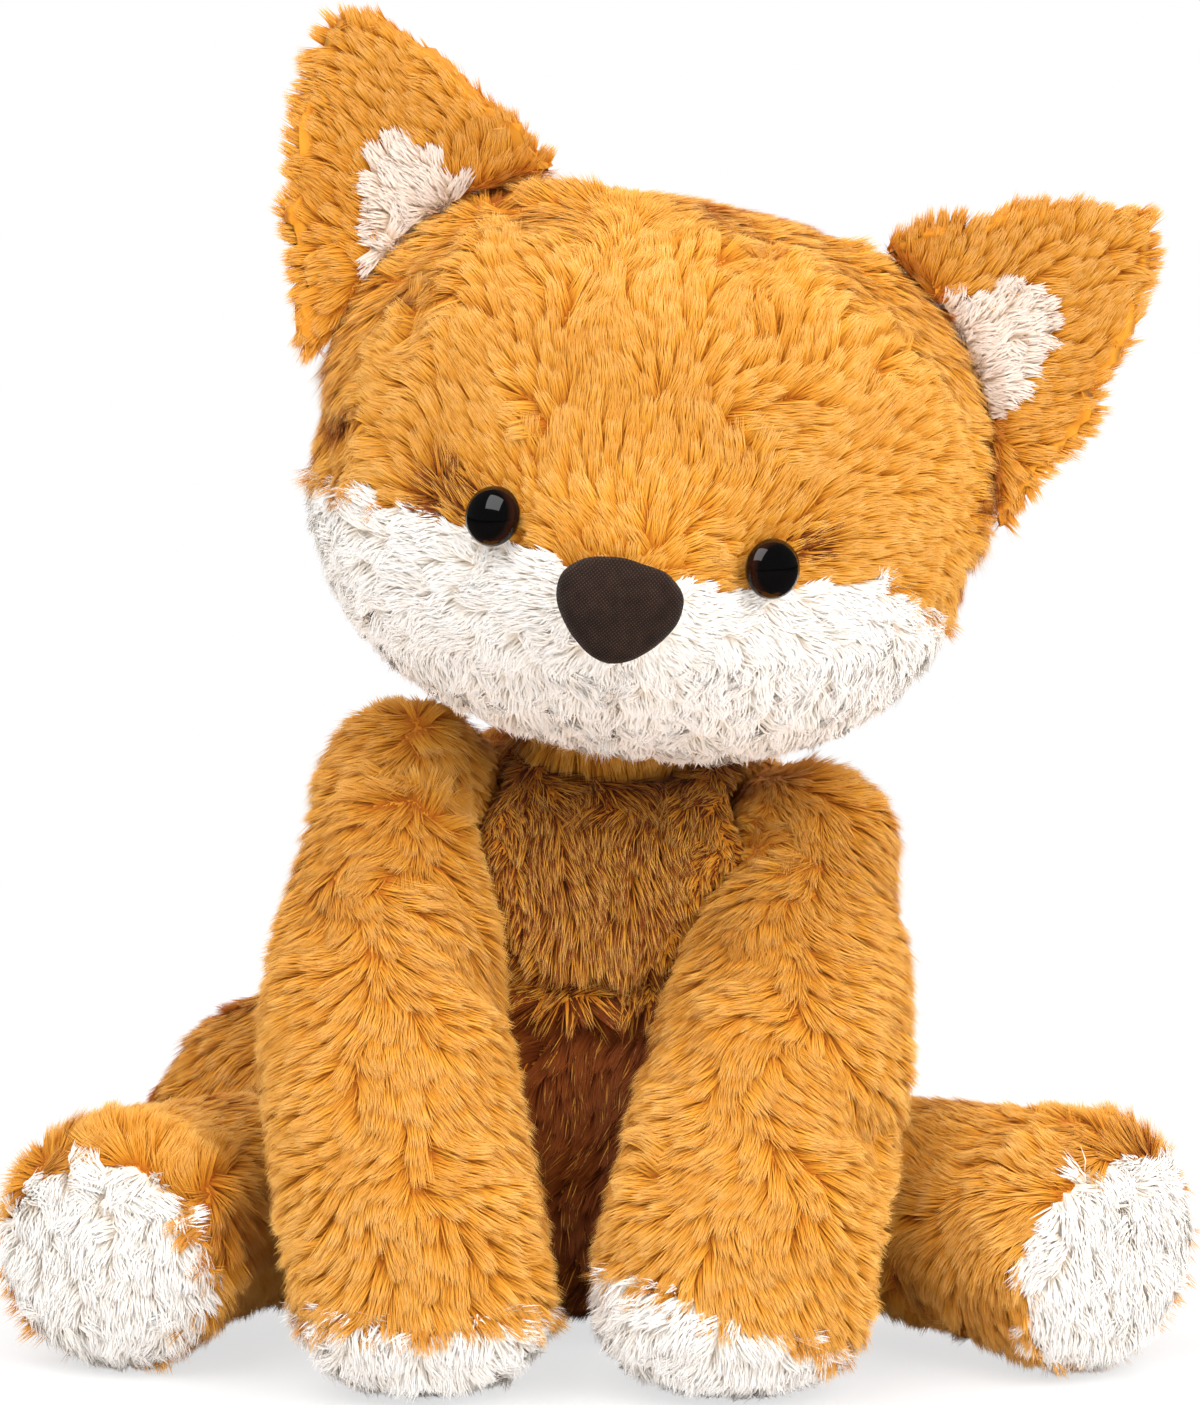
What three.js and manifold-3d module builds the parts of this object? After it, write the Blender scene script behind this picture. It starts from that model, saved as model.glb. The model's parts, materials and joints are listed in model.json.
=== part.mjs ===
// A seated plush fox, about 245 mm tall: sewn pile fabric over polyester stuffing, with plastic eyes.
// Millimetres, +Z up. The fox looks along -Y, so its own right side is at -X.
// The origin is the middle of the flat seat under the body.
import * as THREE from "three";
import { mergeVertices } from "three/addons/utils/BufferGeometryUtils.js";
import Module from "manifold-3d";

const wasm = await Module();
wasm.setup();

// Fabric and fits
const wall = 2.4; // backing cloth with the dense foot of its pile
const gap = 0.3; // clearance between neighbours and at seams
const ballGap = 0.6; // clearance around a limb's ball in its socket
const floorCut = 0.5; // how deep the floor flattens a soft form
const overrun = 300; // how far a cutter reaches past what it cuts

// Body, a pear whose top leans forward to the neck
const body = { height: 110, halfWidth: 44, halfDepth: 41, seatRound: 12, topRound: 20 };
const bodyLean = { neckSide: 3, neckBack: 4, lowBack: 4, highBack: 9 };
const bagHeight = 24; // top of the pellet bag that weighs the seat

// Head
const head = { halfWidth: 59, halfHeight: 50.5, halfDepth: 46 };
const squareShare = 2.5; // 2 would make the head an ellipsoid
const headSeat = { across: 3.2, back: 22, sink: -0.5 }; // where the neck meets the head
const headRollDegrees = 10.6;
const neckLeanDegrees = 24;
const neckBall = 19;
const neckThread = { radius: 0.7, drop: 7 };
const snout = { reach: 17, halfWidth: 19, halfHeight: 17, centreZ: -18.5, centreX: -1.8 };
const gussetHalf = 13;
const cheekBack = 14; // how far back the white cheeks reach behind the head's middle

// Eyes, nose and ears
const eye = { radius: 5.2, dome: 4.6, rim: 1, lift: 0.9, apart: 46.8, centreZ: -7.8, centreX: -1.6 };
const post = { radius: 1.5, end: 1 };
const washer = { radius: 6, thickness: 1.2, curveRoom: 0.5 };
const nose = { width: 22.4, height: 18, bulge: 5.5, root: 5, centreZ: -18, centreX: -2.4 };
const ear = { width: 59, height: 49.5, thickness: 10, cup: 8, root: 9 };
const lining = { sideEdge: 17, tipEdge: 25, depth: 3.2 };
const earDegrees = {
  r: { aroundDegrees: -51, tiltDegrees: -31 },
  l: { aroundDegrees: 57, tiltDegrees: 43 },
};
const earTaperShares = [1.35, 0.63]; // powers of the outline, 2 and 0.5 would make the ear half an ellipse
const earSeatShare = 0.95; // how far out in the head an ear turns
const earFold = { fromDegrees: -12, toDegrees: 12 }; // back and forward

// Places of the limbs are shares of the body: sideways in half-widths, back in half-depths, up in heights.
// Arms, each from its shoulder over an elbow to a paw on the floor
const arms = {
  r: { ballRadius: 18, width: 48.5, depth: 41, seamTilt: 0 },
  l: { ballRadius: 17.5, width: 51, depth: 44, seamTilt: -0.35 }, // its white reaches higher on the inner side
};
const armPlaceShares = {
  r: {
    shoulder: [-0.8, -0.09, 0.9],
    elbow: [-0.875, -1.05, 0.527],
    paw: [-0.716, -1.5, 0.214],
    toe: [-0.705, -1.585],
  },
  l: {
    shoulder: [0.87, -0.1, 0.8],
    elbow: [0.73, -1.05, 0.509],
    paw: [0.54, -1.488, 0.214],
    toe: [0.52, -1.61],
  },
};
const pawRound = 13;
const wristHeight = 14; // where the orange sleeve meets the white paw
const armSwing = { fromDegrees: 0, toDegrees: 40 }; // forward and up

// Hind legs, lying on the floor with their soles to the front
const legs = {
  r: { ballRadius: 18.5, width: 48.5 },
  l: { ballRadius: 18.5, width: 49.5 },
};
const legPlaceShares = {
  r: { hip: [-0.818, 0.1, 0.21], knee: [-1.63, -0.38], sole: [-2.03, -1.38] },
  l: { hip: [0.818, 0.146, 0.21], knee: [1.5, -0.61], sole: [2.15, -1.36] },
};
const soleRound = 8;
const soleSeam = 7; // how far the sole's edge turns back along the leg
const soleTilt = 0.25; // the orange reaches further forward over the top of the sole
const legSpread = { fromDegrees: 0, toDegrees: 22 }; // outward

// Tail, curling to the fox's right and down to the floor
const tail = { ballRadius: 11, width: 37 };
const tailPlaceShares = {
  root: [-0.136, 0.93, 0.25],
  bend: [-0.6, 1.39, 0.35],
  side: [-1.2, 1.39, 0.38],
  drop: [-1.73, 1.05],
  end: [-2.02, 0.68, 0.116],
};
const tailRound = 17;
const tailSeam = 17; // length of the white tip
const tailWag = { fromDegrees: -3, toDegrees: 25 };

// Radius along each form from its start to its end, as shares of its half-width
const bodyShares = [[0, 0.96], [0.22, 1.02], [0.45, 0.99], [0.62, 0.93], [0.8, 0.92], [1, 0.9]];
const bodyDepthShares = [[0, 0.94], [0.2, 1], [0.42, 1.02], [0.62, 0.93], [0.8, 0.95], [1, 0.88]];
const limbNeckShares = [1.35, 0.95]; // place and radius in balls, as a limb is a little narrower past its ball
const armShares = [[0.38, 0.86], [0.55, 0.96], [0.72, 1], [1, 1]];
const legShares = [[0.42, 0.85], [0.65, 0.9], [0.86, 1], [1, 1]];
const tailShares = [[0.28, 0.74], [0.45, 0.96], [0.62, 1.02], [0.8, 0.94], [1, 0.8]];
const cheekShares = [[-1, 1], [-0.55, 1.02], [-0.2, 1.03], [0.3, 1], [0.7, 0.99], [1, 1]];
// The edge of the white cheeks, left to right: sideways in head half-widths, up in head half-heights
const cheekEdgeShares = [
  [-1.3, -0.2],
  [-0.95, -0.2],
  [-0.4, -0.22],
  [-0.17, -0.25],
  [0.21, -0.25],
  [0.47, -0.22],
  [0.7, -0.16],
  [1, -0.34],
  [1.3, -0.34],
];

// How fine the forms are
const bodyFine = { sides: 18, rings: 12 };
const limbFine = { sides: 12, rings: 10 };
const headFine = { sides: 24, rings: 14 };
const insideBody = { sides: 10, rings: 8 };
const insideLimb = { sides: 8, rings: 7 };
const insideHead = { sides: 14, rings: 8 };
const ballSides = 16;
const insideBallSides = 10;
const freeBallSides = 24;
const smallSides = 12;
const threadSides = 5;
const sweepStepDegrees = 12; // degrees between the turns that a cutter is made of

const orange = { color: 0xd8953c, roughness: 0.95, metalness: 0 };
const white = { color: 0xefe9e2, roughness: 0.95, metalness: 0 };
const knit = { color: 0x35261f, roughness: 0.85, metalness: 0 };
const gloss = { color: 0x050505, roughness: 0.12, metalness: 0 };
const natural = { color: 0xd9d5cc, roughness: 0.6, metalness: 0 };
const stuffing = { color: 0xf4f2ee, roughness: 1, metalness: 0 };
const pellets = { color: 0xcfc8ba, roughness: 0.9, metalness: 0 };
const thread = { color: 0x9a5a1e, roughness: 0.8, metalness: 0 };

const fox = new THREE.Group();
const rad = THREE.MathUtils.degToRad;
const axisX = new THREE.Vector3(1, 0, 0);
const axisY = new THREE.Vector3(0, 1, 0);
const axisZ = new THREE.Vector3(0, 0, 1);

// A place given in shares of the body, at its own height or at the one given in millimetres
const placeAt = ([x, y, z], height = z * body.height) =>
  new THREE.Vector3(x * body.halfWidth, y * body.halfDepth, height);

// A closed geometry as a solid, and a solid as a geometry
function solid(geometry, matrix = new THREE.Matrix4()) {
  const plain = new THREE.BufferGeometry();
  plain.setAttribute("position", geometry.getAttribute("position").clone());
  if (geometry.index) plain.setIndex(geometry.index);
  plain.applyMatrix4(matrix);
  const merged = mergeVertices(plain);
  const vertProperties = merged.attributes.position.array;
  const triVerts = new Uint32Array(merged.index.array);
  return new wasm.Manifold(new wasm.Mesh({ numProp: 3, vertProperties, triVerts }));
}

function surface(made) {
  const mesh = made.getMesh();
  const geometry = new THREE.BufferGeometry();
  geometry.setAttribute("position", new THREE.BufferAttribute(mesh.vertProperties, 3));
  geometry.setIndex(new THREE.BufferAttribute(mesh.triVerts, 1));
  geometry.computeVertexNormals();
  return geometry;
}

// A cut can leave specks beside the piece, and only the piece itself is kept
function largest(made) {
  const pieces = made.decompose();
  return pieces.reduce((best, next) => (next.volume() > best.volume() ? next : best));
}

function add(name, made, look) {
  const mesh = new THREE.Mesh(surface(largest(made)), new THREE.MeshStandardMaterial(look));
  mesh.name = name;
  fox.add(mesh);
}

// The value at t of a list of [t, value] pairs, smooth between them
function along(pairs, t) {
  const last = pairs.length - 1;
  let i = 0;
  while (i < last - 1 && t > pairs[i + 1][0]) i += 1;
  const share = THREE.MathUtils.clamp((t - pairs[i][0]) / (pairs[i + 1][0] - pairs[i][0]), 0, 1);
  return THREE.MathUtils.lerp(pairs[i][1], pairs[i + 1][1], THREE.MathUtils.smoothstep(share, 0, 1));
}

// A closed skin over rings of points between two end points
function skinOver(first, ringList, last) {
  const points = [first, ...ringList.flat(), last];
  const count = ringList[0].length;
  const faces = [];
  const at = (ring, side) => 1 + ring * count + (side % count);
  for (let side = 0; side < count; side += 1) {
    faces.push(0, at(0, side), at(0, side + 1));
    faces.push(points.length - 1, at(ringList.length - 1, side + 1), at(ringList.length - 1, side));
    for (let ring = 0; ring < ringList.length - 1; ring += 1) {
      faces.push(at(ring, side), at(ring + 1, side), at(ring + 1, side + 1));
      faces.push(at(ring, side), at(ring + 1, side + 1), at(ring, side + 1));
    }
  }
  const geometry = new THREE.BufferGeometry().setFromPoints(points);
  geometry.setIndex(faces);
  geometry.computeVertexNormals();
  return geometry;
}

// A swelling form along a path. Its radii are [t, radius] pairs, and both of its ends are round.
function form({ path, up, wide, deep, startRound, endRound, fine }) {
  const curve = new THREE.CatmullRomCurve3(path, false, "centripetal");
  const length = curve.getLength();
  const ringList = [];
  for (let i = 1; i < fine.rings; i += 1) {
    const t = (1 - Math.cos((Math.PI * i) / fine.rings)) / 2;
    const middle = curve.getPointAt(t);
    const ahead = curve.getTangentAt(t);
    const across = new THREE.Vector3().crossVectors(ahead, up).normalize();
    const outward = new THREE.Vector3().crossVectors(across, ahead);
    const fromStart = Math.max(0, 1 - (t * length) / startRound);
    const fromEnd = Math.max(0, 1 - ((1 - t) * length) / endRound);
    const round = Math.sqrt((1 - fromStart ** 2) * (1 - fromEnd ** 2));
    const ring = [];
    for (let side = 0; side < fine.sides; side += 1) {
      const turn = (2 * Math.PI * side) / fine.sides;
      const spot = middle.clone();
      spot.addScaledVector(across, Math.cos(turn) * along(wide, t) * round);
      spot.addScaledVector(outward, Math.sin(turn) * along(deep, t) * round);
      ring.push(spot);
    }
    ringList.push(ring);
  }
  return skinOver(curve.getPointAt(0), ringList, curve.getPointAt(1));
}

// The same skin moved along its own normals, outwards or, where the distance is negative, inwards
function swell(geometry, distance) {
  const moved = geometry.clone();
  const { position, normal } = moved.attributes;
  for (let i = 0; i < position.count; i += 1) {
    const spot = new THREE.Vector3().fromBufferAttribute(position, i);
    spot.addScaledVector(new THREE.Vector3().fromBufferAttribute(normal, i), distance);
    position.setXYZ(i, spot.x, spot.y, spot.z);
  }
  return moved;
}

// A ball whose flat facets all lie at or outside the radius
function socket({ centre, radius }, grow, count = ballSides) {
  const outside = (radius + grow) / Math.cos(Math.PI / count) ** 2;
  const ball = new THREE.SphereGeometry(outside, count, count / 2);
  return solid(ball, new THREE.Matrix4().setPosition(centre));
}

function cutAll(made, cutters) {
  return cutters.reduce((left, cutter) => left.subtract(cutter), made);
}

function joinAll(list) {
  return list.reduce((joined, next) => joined.add(next));
}

// Everything on the far side of a plane through a point
function beyond(at, normal) {
  const box = new THREE.BoxGeometry(overrun * 2, overrun * 2, overrun);
  box.translate(0, 0, overrun / 2);
  const turn = new THREE.Quaternion().setFromUnitVectors(axisZ, normal.clone().normalize());
  return solid(box, new THREE.Matrix4().compose(at, turn, new THREE.Vector3(1, 1, 1)));
}

function turnAbout(pivot, axis, degrees) {
  const there = new THREE.Matrix4().setPosition(pivot);
  const back = new THREE.Matrix4().setPosition(pivot.clone().negate());
  const turned = new THREE.Matrix4().makeRotationAxis(axis.clone().normalize(), rad(degrees));
  return there.multiply(turned).multiply(back);
}

// What a still neighbour sweeps as seen by a piece that turns from the first angle to the last
function swept(neighbour, pivot, axis, { fromDegrees, toDegrees }) {
  const range = toDegrees - fromDegrees;
  const steps = Math.max(1, Math.ceil(range / sweepStepDegrees));
  const seen = [];
  for (let i = 0; i <= steps; i += 1) {
    const matrix = turnAbout(pivot, axis, -(fromDegrees + (range * i) / steps));
    seen.push(neighbour.transform(matrix.elements));
  }
  return joinAll(seen);
}
const underFloor = beyond(new THREE.Vector3(), axisZ.clone().negate());

// Where the joints are
const neckUp = new THREE.Vector3(0, -Math.sin(rad(neckLeanDegrees)), Math.cos(rad(neckLeanDegrees)));
const neckSeam = new THREE.Vector3(bodyLean.neckSide, bodyLean.neckBack, body.height);
const neck = neckSeam.clone().addScaledVector(neckUp, gap);
const sides = ["r", "l"];
const sockets = [
  ...sides.map((side) => ({ centre: placeAt(armPlaceShares[side].shoulder), radius: arms[side].ballRadius })),
  ...sides.map((side) => ({ centre: placeAt(legPlaceShares[side].hip), radius: legs[side].ballRadius })),
  { centre: placeAt(tailPlaceShares.root), radius: tail.ballRadius },
];

// Body
const bodyAt = (fine) => form({
  path: [
    new THREE.Vector3(0, 0, -floorCut),
    new THREE.Vector3(0, bodyLean.lowBack, body.height / 3),
    new THREE.Vector3(bodyLean.neckSide / 2, bodyLean.highBack, (body.height * 2) / 3),
    neckSeam,
  ],
  up: axisY,
  wide: bodyShares.map(([t, share]) => [t, body.halfWidth * share]),
  deep: bodyDepthShares.map(([t, share]) => [t, body.halfDepth * share]),
  startRound: body.seatRound,
  endRound: body.topRound,
  fine,
});

// Every stuffed form has three levels: the pile's surface, the inside of the cloth and the stuffing
const levels = [0, wall, wall + gap];
const levelsOf = (shapeAt, fine, inside) =>
  [fine, inside, inside].map((count, i) => swell(shapeAt(count), -levels[i]));
const bodyBlocks = levels.map((grow) => solid(swell(bodyAt(bodyFine), gap + grow)));

function makeBody() {
  const neckHole = { centre: neck, radius: neckBall };
  const [outer, inner, core] = levelsOf(bodyAt, bodyFine, insideBody).map((shape, i) => {
    const count = i ? insideBallSides : ballSides;
    return cutAll(
      solid(shape),
      sockets.map((ball) => socket(ball, ballGap + levels[i], count)),
    );
  });
  const seamGroove = threadRing(neckThread.radius + gap);
  const shell = outer.subtract(inner).subtract(socket(neckHole, gap));
  const skin = shell.subtract(seamGroove).subtract(underFloor);
  const half = gap / 2;
  add("body_front", skin.intersect(beyond(new THREE.Vector3(0, -half, 0), axisY.clone().negate())), orange);
  add("body_back", skin.intersect(beyond(new THREE.Vector3(0, half, 0), axisY)), orange);

  const inside = core.subtract(socket(neckHole, gap)).subtract(seamGroove);
  add("body_filling", inside.intersect(beyond(new THREE.Vector3(0, 0, bagHeight + gap), axisZ)), stuffing);
  const low = beyond(new THREE.Vector3(0, 0, bagHeight), axisZ.clone().negate());
  add("seat_bag", inside.intersect(low), pellets);
}

function threadRing(radius) {
  const level = neck.clone().addScaledVector(neckUp, -neckThread.drop);
  const reach = Math.sqrt((neckBall + gap) ** 2 - neckThread.drop ** 2) + neckThread.radius + gap;
  const ring = new THREE.TorusGeometry(reach, radius, threadSides, freeBallSides);
  return solid(ring, new THREE.Matrix4().makeRotationX(rad(neckLeanDegrees)).setPosition(level));
}

function makeNeck() {
  add("neck_seam", threadRing(neckThread.radius), thread);
  const ball = new THREE.SphereGeometry(neckBall, ballSides, ballSides / 2);
  add("neck_filling", solid(ball, new THREE.Matrix4().setPosition(neck)), stuffing);
}

// Limbs
function makeLimb({ name, shapeAt, ball, pivot, axis, range, seamAt, seamNormal, cap, capLook }) {
  // The ball itself sits in its socket, and the rest of the limb keeps clear of the body
  const [outer, inner, filling] = levelsOf(shapeAt, limbFine, insideLimb).map((shape, i) => {
    const count = i ? ballSides : freeBallSides;
    const free = socket({ centre: pivot, radius: ball }, gap / 2 - levels[i], count);
    return solid(shape).subtract(swept(bodyBlocks[i], pivot, axis, range).subtract(free));
  });
  const skin = outer.subtract(underFloor).subtract(inner);
  const shift = seamNormal.clone().setLength(gap);
  add(name + "_sleeve" + cap.side, skin.subtract(beyond(seamAt, seamNormal)), orange);
  add(cap.name + cap.side, skin.intersect(beyond(seamAt.clone().add(shift), seamNormal)), capLook);
  add(name + "_filling" + cap.side, filling, stuffing);
}

// A path that starts behind the middle of the ball, so that the form's round end is the ball
function limbPath(ball, points) {
  const back = new THREE.Vector3().subVectors(points[0], points[1]).setLength(ball);
  return [points[0].clone().add(back), ...points];
}

// Radii that hold the ball, narrow at the seam and swell to the limb
function limbRadii({ ball, half, shares, path }) {
  const length = new THREE.CatmullRomCurve3(path, false, "centripetal").getLength();
  const middle = ball / length;
  return [
    [0, ball],
    [middle, ball],
    [middle * limbNeckShares[0], ball * limbNeckShares[1]],
    ...shares.map(([t, share]) => [t, half * share]),
  ];
}

function makeArm(side) {
  const arm = arms[side];
  const shoulder = placeAt(armPlaceShares[side].shoulder);
  const paw = placeAt(armPlaceShares[side].paw);
  const toe = placeAt(armPlaceShares[side].toe, -floorCut);
  const path = limbPath(arm.ballRadius, [shoulder, placeAt(armPlaceShares[side].elbow), paw, toe]);
  const radii = (half) => limbRadii({ ball: arm.ballRadius, half, shares: armShares, path });
  const shapeAt = (fine) =>
    form({
      path,
      up: axisY,
      wide: radii(arm.width / 2),
      deep: radii(arm.depth / 2),
      startRound: arm.ballRadius,
      endRound: pawRound,
      fine,
    });
  makeLimb({
    name: "arm",
    shapeAt,
    ball: arm.ballRadius,
    pivot: shoulder,
    axis: axisX.clone().negate(),
    range: armSwing,
    seamAt: paw.clone().setZ(wristHeight),
    seamNormal: new THREE.Vector3().subVectors(toe, paw).normalize().setX(arm.seamTilt),
    cap: { name: "paw_cap", side: "_" + side },
    capLook: white,
  });
}

function makeLeg(side) {
  const leg = legs[side];
  const half = leg.width / 2;
  const low = half - floorCut;
  const hip = placeAt(legPlaceShares[side].hip);
  const knee = placeAt(legPlaceShares[side].knee, low);
  const sole = placeAt(legPlaceShares[side].sole, low);
  const path = limbPath(leg.ballRadius, [hip, knee, sole]);
  const radii = limbRadii({ ball: leg.ballRadius, half, shares: legShares, path });
  const shapeAt = (fine) =>
    form({
      path,
      up: axisZ,
      wide: radii,
      deep: radii,
      startRound: leg.ballRadius,
      endRound: soleRound,
      fine,
    });
  const ahead = new THREE.Vector3().subVectors(sole, knee).normalize();
  makeLimb({
    name: "leg",
    shapeAt,
    ball: leg.ballRadius,
    pivot: hip,
    axis: side === "r" ? axisZ.clone().negate() : axisZ,
    range: legSpread,
    seamAt: sole.clone().addScaledVector(ahead, -soleSeam),
    seamNormal: ahead.clone().setZ(-soleTilt),
    cap: { name: "sole", side: "_" + side },
    capLook: white,
  });
}

function makeTail() {
  const half = tail.width / 2;
  const root = placeAt(tailPlaceShares.root);
  const drop = placeAt(tailPlaceShares.drop, half * tailShares.at(-2)[1] + floorCut);
  const end = placeAt(tailPlaceShares.end);
  const bend = placeAt(tailPlaceShares.bend);
  const path = limbPath(tail.ballRadius, [root, bend, placeAt(tailPlaceShares.side), drop, end]);
  const radii = limbRadii({ ball: tail.ballRadius, half, shares: tailShares, path });
  const shapeAt = (fine) =>
    form({
      path,
      up: axisZ,
      wide: radii,
      deep: radii,
      startRound: tail.ballRadius,
      endRound: tailRound,
      fine,
    });
  const ahead = new THREE.Vector3().subVectors(end, drop).normalize();
  makeLimb({
    name: "tail",
    shapeAt,
    ball: tail.ballRadius,
    pivot: root,
    axis: axisZ.clone().negate(),
    range: tailWag,
    seamAt: end.clone().addScaledVector(ahead, -tailSeam),
    seamNormal: ahead,
    cap: { name: "tail_tip", side: "" },
    capLook: white,
  });
}

// Head, made about its own middle and then put on the neck
const headPlace = new THREE.Matrix4();
const headUp = new THREE.Matrix4().makeRotationY(rad(headRollDegrees));

// How wide the head is at a height, as a share of its half-width, and its front there
function headRing(z) {
  const height = THREE.MathUtils.clamp(z / head.halfHeight, -1, 1);
  return (1 - Math.abs(height) ** squareShare) ** (1 / squareShare) * along(cheekShares, height);
}

function snoutReach(x, z) {
  const aside = (x - snout.centreX) / snout.halfWidth;
  const above = (z - snout.centreZ) / snout.halfHeight;
  return snout.reach * Math.exp(-(aside ** 2) - above ** 2);
}

function headFront(x, z) {
  const ring = headRing(z);
  const across = THREE.MathUtils.clamp(x / (head.halfWidth * ring), -1, 1);
  return -head.halfDepth * ring * Math.sqrt(1 - across ** 2) - snoutReach(x, z);
}

function headAt(fine) {
  const ringList = [];
  for (let i = 1; i < fine.rings; i += 1) {
    const z = -head.halfHeight * Math.cos((Math.PI * i) / fine.rings);
    const ring = [];
    for (let side = 0; side < fine.sides; side += 1) {
      const turn = (2 * Math.PI * side) / fine.sides;
      const x = head.halfWidth * headRing(z) * Math.cos(turn);
      const back = head.halfDepth * headRing(z) * Math.sin(turn);
      ring.push(new THREE.Vector3(x, back < 0 ? headFront(x, z) : back, z));
    }
    ringList.push(ring.reverse());
  }
  const top = new THREE.Vector3(0, 0, head.halfHeight);
  return skinOver(top.clone().negate(), ringList, top);
}
const headForm = headAt(headFine);

// The head's middle goes where its underside meets the neck
const fromMiddle = Math.hypot(headSeat.across / head.halfWidth, headSeat.back / head.halfDepth);
const underside = -head.halfHeight * (1 - fromMiddle ** squareShare) ** (1 / squareShare);
const neckInHead = new THREE.Vector3(headSeat.across, headSeat.back, underside + headSeat.sink);
headPlace.multiply(new THREE.Matrix4().setPosition(neck)).multiply(headUp);
headPlace.multiply(new THREE.Matrix4().setPosition(neckInHead.clone().negate()));

// A prism along Y through the whole head under an edge, back to a depth
function underEdge(drop, back) {
  const shape = new THREE.Shape();
  const edge = cheekEdgeShares.map(
    ([x, z]) => new THREE.Vector2(x * head.halfWidth, z * head.halfHeight - drop),
  );
  shape.setFromPoints([
    new THREE.Vector2(edge[0].x, -overrun),
    ...edge,
    new THREE.Vector2(edge.at(-1).x, -overrun),
  ]);
  const prism = new THREE.ExtrudeGeometry(shape, { depth: overrun, bevelEnabled: false });
  prism.rotateX(Math.PI / 2);
  prism.translate(0, back, 0);
  return solid(prism);
}

function eyeAxis(side) {
  const x = ((side === "l" ? 1 : -1) * eye.apart) / 2 + eye.centreX;
  const z = eye.centreZ;
  const y = headFront(x, z);
  const step = gap;
  const slopeX = (headFront(x + step, z) - headFront(x - step, z)) / (step * 2);
  const slopeZ = (headFront(x, z + step) - headFront(x, z - step)) / (step * 2);
  const out = new THREE.Vector3(slopeX, -1, slopeZ).normalize();
  const turn = new THREE.Quaternion().setFromUnitVectors(axisY, out);
  const seat = new THREE.Vector3(x, y, z).addScaledVector(out, eye.lift);
  return new THREE.Matrix4().compose(seat, turn, new THREE.Vector3(1, 1, 1));
}

function lathe(profile, count) {
  return new THREE.LatheGeometry(
    profile.map(([r, y]) => new THREE.Vector2(r, y)),
    count,
  );
}

function drum(radius, from, to) {
  return lathe([[0, from], [radius, from], [radius, to], [0, to]], smallSides);
}

const washerTop = -eye.lift - wall - washer.curveRoom;
const postLength = -washerTop + washer.thickness + post.end;

function makeEye(side) {
  const place = eyeAxis(side);
  const profile = [[0, -postLength], [post.radius, -postLength], [post.radius, 0], [eye.radius, 0]];
  const steps = 6;
  for (let i = 0; i <= steps; i += 1) {
    const turn = (Math.PI / 2) * (i / steps);
    const r = i === steps ? 0 : eye.radius * Math.cos(turn);
    profile.push([r, eye.rim + (eye.dome - eye.rim) * Math.sin(turn)]);
  }
  const put = (geometry) => solid(geometry, headPlace.clone().multiply(place));
  add("eye_" + side, put(lathe(profile, smallSides)), gloss);
  const ring = [
    [post.radius + gap, washerTop - washer.thickness],
    [washer.radius, washerTop - washer.thickness],
    [washer.radius, washerTop],
    [post.radius + gap, washerTop],
    [post.radius + gap, washerTop - washer.thickness],
  ];
  add("eye_washer_" + side, put(lathe(ring, smallSides)), natural);
}

function eyeRoom(side) {
  const place = eyeAxis(side);
  const hole = solid(drum(post.radius + gap, -postLength - gap, gap), place);
  const pocket = solid(drum(washer.radius + gap, -postLength - gap, washerTop + gap), place);
  return { hole, pocket };
}

function makeHead() {
  const neckHole = socket({ centre: neckInHead, radius: neckBall }, gap);
  const rooms = sides.map(eyeRoom);
  const [outer, inner, core] = levelsOf(headAt, headFine, insideHead).map((shape) => solid(shape));
  const shell = outer.subtract(inner);
  const skin = cutAll(shell, [neckHole, ...rooms.flatMap((room) => [room.hole, room.pocket])]);
  const place = (made) => made.transform(headPlace.elements);
  const from = (x, direction) => {
    const normal = axisX.clone().multiplyScalar(direction);
    return beyond(new THREE.Vector3(x, 0, 0), normal);
  };

  const cheeks = skin.intersect(underEdge(gap, cheekBack - gap));
  add("cheek_r", place(cheeks.intersect(from(-gap / 2, -1))), white);
  add("cheek_l", place(cheeks.intersect(from(gap / 2, 1))), white);
  const upper = skin.subtract(underEdge(0, cheekBack));
  add("head_side_r", place(upper.intersect(from(-gussetHalf - gap, -1))), orange);
  add("head_side_l", place(upper.intersect(from(gussetHalf + gap, 1))), orange);
  add("head_gusset", place(cutAll(upper, [from(-gussetHalf, -1), from(gussetHalf, 1)])), orange);

  const filling = cutAll(core, [neckHole, ...rooms.flatMap((room) => [room.hole, room.pocket])]);
  add("head_filling", place(filling), stuffing);
}

// A rounded triangle, broad at the top, that domes forward from the snout
function makeNose() {
  const layers = 5;
  const front = headFront(nose.centreX, nose.centreZ);
  const narrowShare = 0.93;
  const broadShare = 0.34;
  const ringAt = (y, scale) => {
    const ring = [];
    for (let side = 0; side < smallSides; side += 1) {
      const turn = (2 * Math.PI * side) / smallSides;
      const x = (nose.width / 2) * scale * Math.cos(turn) * (narrowShare + broadShare * Math.sin(turn));
      const z = (nose.height / 2) * scale * Math.sin(turn);
      ring.push(new THREE.Vector3(nose.centreX + x, y, nose.centreZ + z));
    }
    return ring;
  };
  const ringList = [ringAt(front + nose.root, 1)];
  for (let i = 0; i < layers; i += 1) {
    const turn = (Math.PI / 2) * (i / layers);
    ringList.push(ringAt(front - nose.bulge * Math.sin(turn), Math.cos(turn) ** (1 / 2)));
  }
  const first = new THREE.Vector3(nose.centreX, front + nose.root, nose.centreZ);
  const tip = new THREE.Vector3(nose.centreX, front - nose.bulge, nose.centreZ);
  const pad = solid(skinOver(first, ringList.map((ring) => ring.reverse()), tip));
  add("nose", pad.subtract(solid(swell(headForm, gap))).transform(headPlace.elements), knit);
}

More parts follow.
